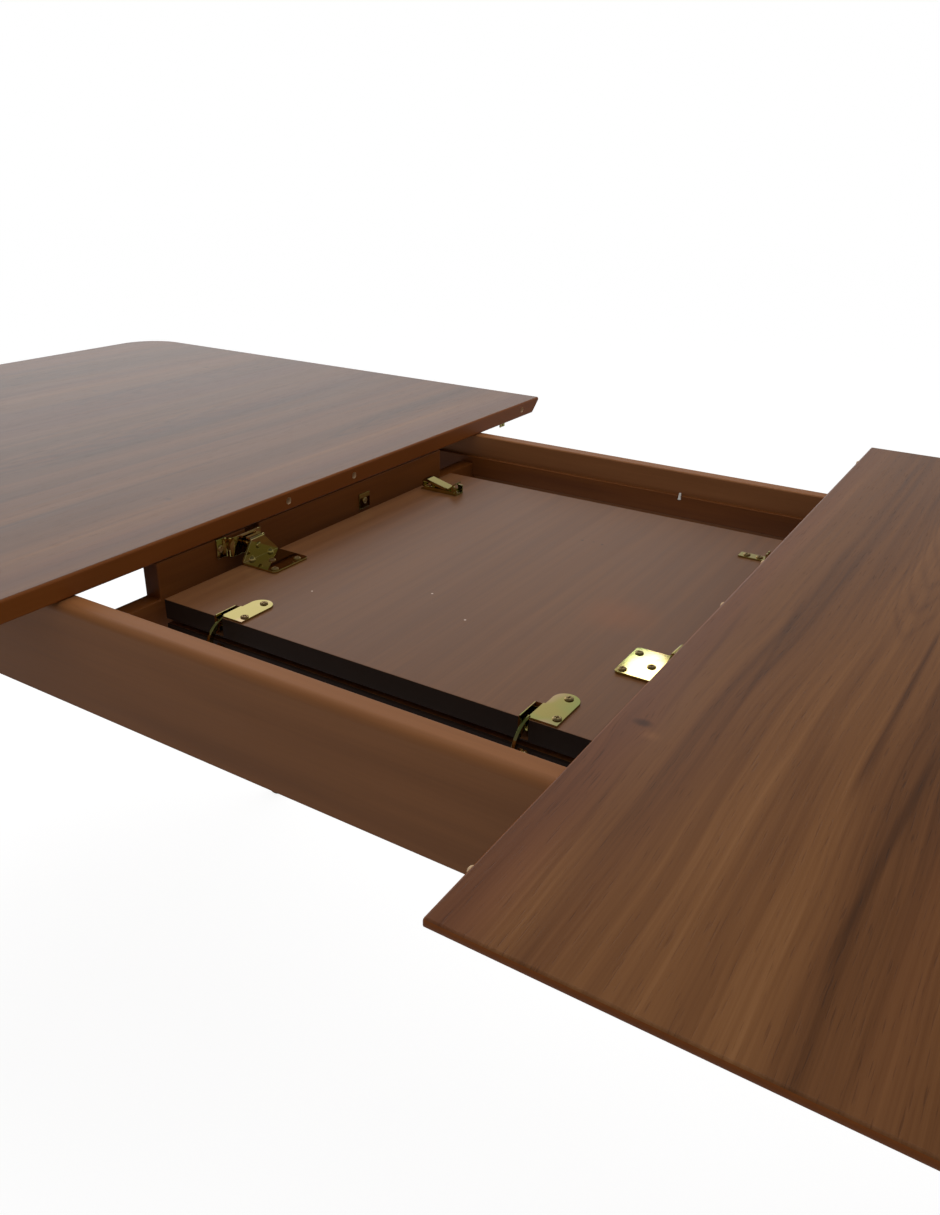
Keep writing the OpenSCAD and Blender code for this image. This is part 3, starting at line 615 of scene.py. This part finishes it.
woodParts = {  # node: finish, edge radius in mm
    "apron_front": (apronWoodX, 1.5), "apron_back": (apronWoodX, 1.5),
    "apron_left": (apronWoodY, 1.2), "apron_right": (apronWoodY, 1.2),
    "leg_front_left": (legWood, 0.6), "leg_front_right": (legWood, 0.6),
    "leg_back_left": (legWood, 0.6), "leg_back_right": (legWood, 0.6),
    "cross_rail_left": (railWood, 1.0), "cross_rail_right": (railWood, 1.0),
    "track_front": (trackWood, 0.8), "track_back": (trackWood, 0.8),
    "runner_left_front": (trackWood, 1.2), "runner_left_back": (trackWood, 1.2),
    "runner_right_front": (trackWood, 1.2), "runner_right_back": (trackWood, 1.2),
    "dowels_right": (rawWood, 0.6), "dowels_upper": (rawWood, 0.6), "dowels_lower": (rawWood, 0.6),
}
for node, (finish, radius) in woodParts.items():
    roundedCopy(node, radius * mm, [finish])
print("frame made")

smallParts = {  # node: finish, edge radius in mm
    "leg_glides": (blackPlastic, 0.4), "apron_pads": (blackPlastic, 0.1), "track_pegs": (whitePlastic, 0.3),
    "corner_brackets": (steel, 0.3), "leg_bolts": (steel, 0.4), "leg_nuts": (steel, 0.4),
    "clips_left": (steel, 0.3), "clips_right": (steel, 0.3),
    "pivot_support_left": (plateZinc, 0.25), "pivot_support_right": (plateZinc, 0.25),
    "pivot_pins": (plateZinc, 0.3), "rail_plates": (plateZinc, 0.25),
    "keepers_left": (plateZinc, 0.25), "keeper_upper": (plateZinc, 0.25), "keeper_lower": (plateZinc, 0.25),
    "latch_bases_right": (plateZinc, 0.15), "latch_base_upper": (plateZinc, 0.15),
    "latch_base_lower": (plateZinc, 0.15), "latch_bolt_front": (plateZinc, 0.04),
    "latch_bolt_back": (plateZinc, 0.04), "latch_bolt_upper": (plateZinc, 0.04),
    "latch_bolt_lower": (plateZinc, 0.04),
    "pivot_bracket_left": (plateZinc, 0.3), "pivot_bracket_right": (plateZinc, 0.3),
    "hinges_upper": (plateZinc, 0.15), "hinges_lower": (plateZinc, 0.15),
    "hinge_pins_upper": (plateZinc, 0.2), "hinge_pins_lower": (plateZinc, 0.2),
    "fold_link_left": (plateZinc, 0.25), "fold_link_right": (plateZinc, 0.25),
    "frame_screws": (headZinc, 0.12), "screws_left": (headZinc, 0.12), "screws_right": (headZinc, 0.12),
    "screws_upper": (headZinc, 0.12), "screws_lower": (headZinc, 0.12),
}
for node, (finish, radius) in smallParts.items():
    roundedCopy(node, radius * mm, [finish])
print("hardware made")

studio = {
    "ambient": 0.40,      # what the room gives matt surfaces
    "room": 0.50,         # what polished surfaces see near the horizon
    "roomFall": 0.39,     # less above it
    "roomEdge": (0.22, 0.45),   # heights between which it falls, as parts of straight up
    "wall": 0.80,         # more from the pale wall on the left
    "wallRise": 0.38,     # most from its upper part
    "riseEdge": (0.20, 0.40),
    "wallTop": (0.47, 0.68),
    "wallSide": (0.0, 0.85),    # how far round to the left it begins and is full
    "wallFront": (-0.1, 0.2),
    "paper": 1.28,        # brightness of the floor, so that it ends up white
    "paperShare": 0.70,
    "paperColour": (0.86, 0.86, 0.86, 1.0),
    "reach": 14.0,        # from the middle of the floor to its sides
    "gap": 0.2 * mm,      # between the floor and the feet
}

lamps = {
    "overhead": {"spot": (-0.3, 0.5, 2.7), "aim": (0.0, 0.0, 0.75), "size": (2.6, 2.2), "power": 34.0,
                 "shape": "RECTANGLE", "mirrored": False},
    "softbox": {"spot": (-0.79, 2.59, 2.245), "aim": (0.18, -0.13, 0.72), "size": (0.18, 0.16),
                "power": 0.54, "shape": "ELLIPSE", "mirrored": True},  # shows in the right bracket's plate
}


def makeWorld(looks):
    world = bpy.data.worlds.new("studio")
    bpy.context.scene.world = world
    seed = startTree(world)
    way = seed.make("TexCoord", out=0)
    side, front, up = way.axis(0), way.axis(1), way.axis(2)
    toLeft = ((0 - side) / diagonal(side, front)).step(*looks["wallSide"]) * front.step(*looks["wallFront"])
    room = looks["room"] - up.step(*looks["roomEdge"]) * looks["roomFall"]
    wall = looks["wall"] + up.step(*looks["riseEdge"]) * looks["wallRise"]
    wall = wall * (1 - up.step(*looks["wallTop"]))
    mirrored = room + toLeft * wall
    seen = seed.make("LightPath", out=0)
    glossy = seed.make("LightPath", out=3)
    through = seed.make("LightPath", out=6)
    plain = looks["ambient"] + glossy * (mirrored - looks["ambient"])
    clear = (seen + through).calc("MINIMUM", seen + through, 1.0)
    strength = plain + clear * (1.0 - plain)  # pure white to the camera
    back = seed.make("Background", {}, {"Color": (1.0, 1.0, 1.0, 1.0), "Strength": strength})
    seed.make("OutputWorld", {}, {"Surface": back})


def makeFloor(looks):
    mesh = bpy.data.meshes.new("floor")
    reach = looks["reach"]
    corners = [(-reach, -reach, 0), (reach, -reach, 0), (reach, reach, 0), (-reach, reach, 0)]
    mesh.from_pydata(corners, [], [(0, 1, 2, 3)])
    floor = bpy.data.objects.new("floor", mesh)
    bpy.context.scene.collection.objects.link(floor)
    floor.location.z = cadBox[0].z - looks["gap"]
    material = bpy.data.materials.new("paper")
    seed = startTree(material)
    seen = seed.make("LightPath", out=0) + seed.make("LightPath", out=6)
    seen = seen.calc("MINIMUM", seen, 1.0)
    matt = seed.make("BsdfDiffuse", {}, {"Color": looks["paperColour"]})
    bright = seed.make("Emission", {}, {"Color": (1.0, 1.0, 1.0, 1.0), "Strength": looks["paper"]})
    both = seed.make("MixShader", {}, {0: seen * looks["paperShare"], 1: matt, 2: bright})
    seed.make("OutputMaterial", {}, {"Surface": both})
    mesh.materials.append(material)


def makeLamp(name, spot, aim, size, power, shape, mirrored):
    lamp = bpy.data.lights.new(name, "AREA")
    lamp.shape = shape
    lamp.size, lamp.size_y = size
    lamp.energy = power
    holder = bpy.data.objects.new(name, lamp)
    bpy.context.scene.collection.objects.link(holder)
    holder.location = spot
    holder.rotation_euler = (Vector(aim) - Vector(spot)).to_track_quat("-Z", "Y").to_euler()
    holder.visible_glossy = mirrored


makeWorld(studio)
makeFloor(studio)
for name, lamp in lamps.items():
    makeLamp(name, **lamp)

view = {
    "spot": (0.3946, -0.7101, 1.0403),
    "turn": (65.177, -1.0216, 31.9604),  # degrees
    "lens": 28.84,
    "sensor": 36.0,
    "clip": (0.02, 60.0),
}
camera = bpy.data.objects.new("camera", bpy.data.cameras.new("camera"))
bpy.context.scene.collection.objects.link(camera)
camera.location = view["spot"]
camera.rotation_euler = [math.radians(turn) for turn in view["turn"]]
camera.data.lens = view["lens"]
camera.data.sensor_width = view["sensor"]
camera.data.clip_start, camera.data.clip_end = view["clip"]
bpy.context.scene.camera = camera
bpy.context.scene.view_settings.view_transform = "Standard"
print("studio made")
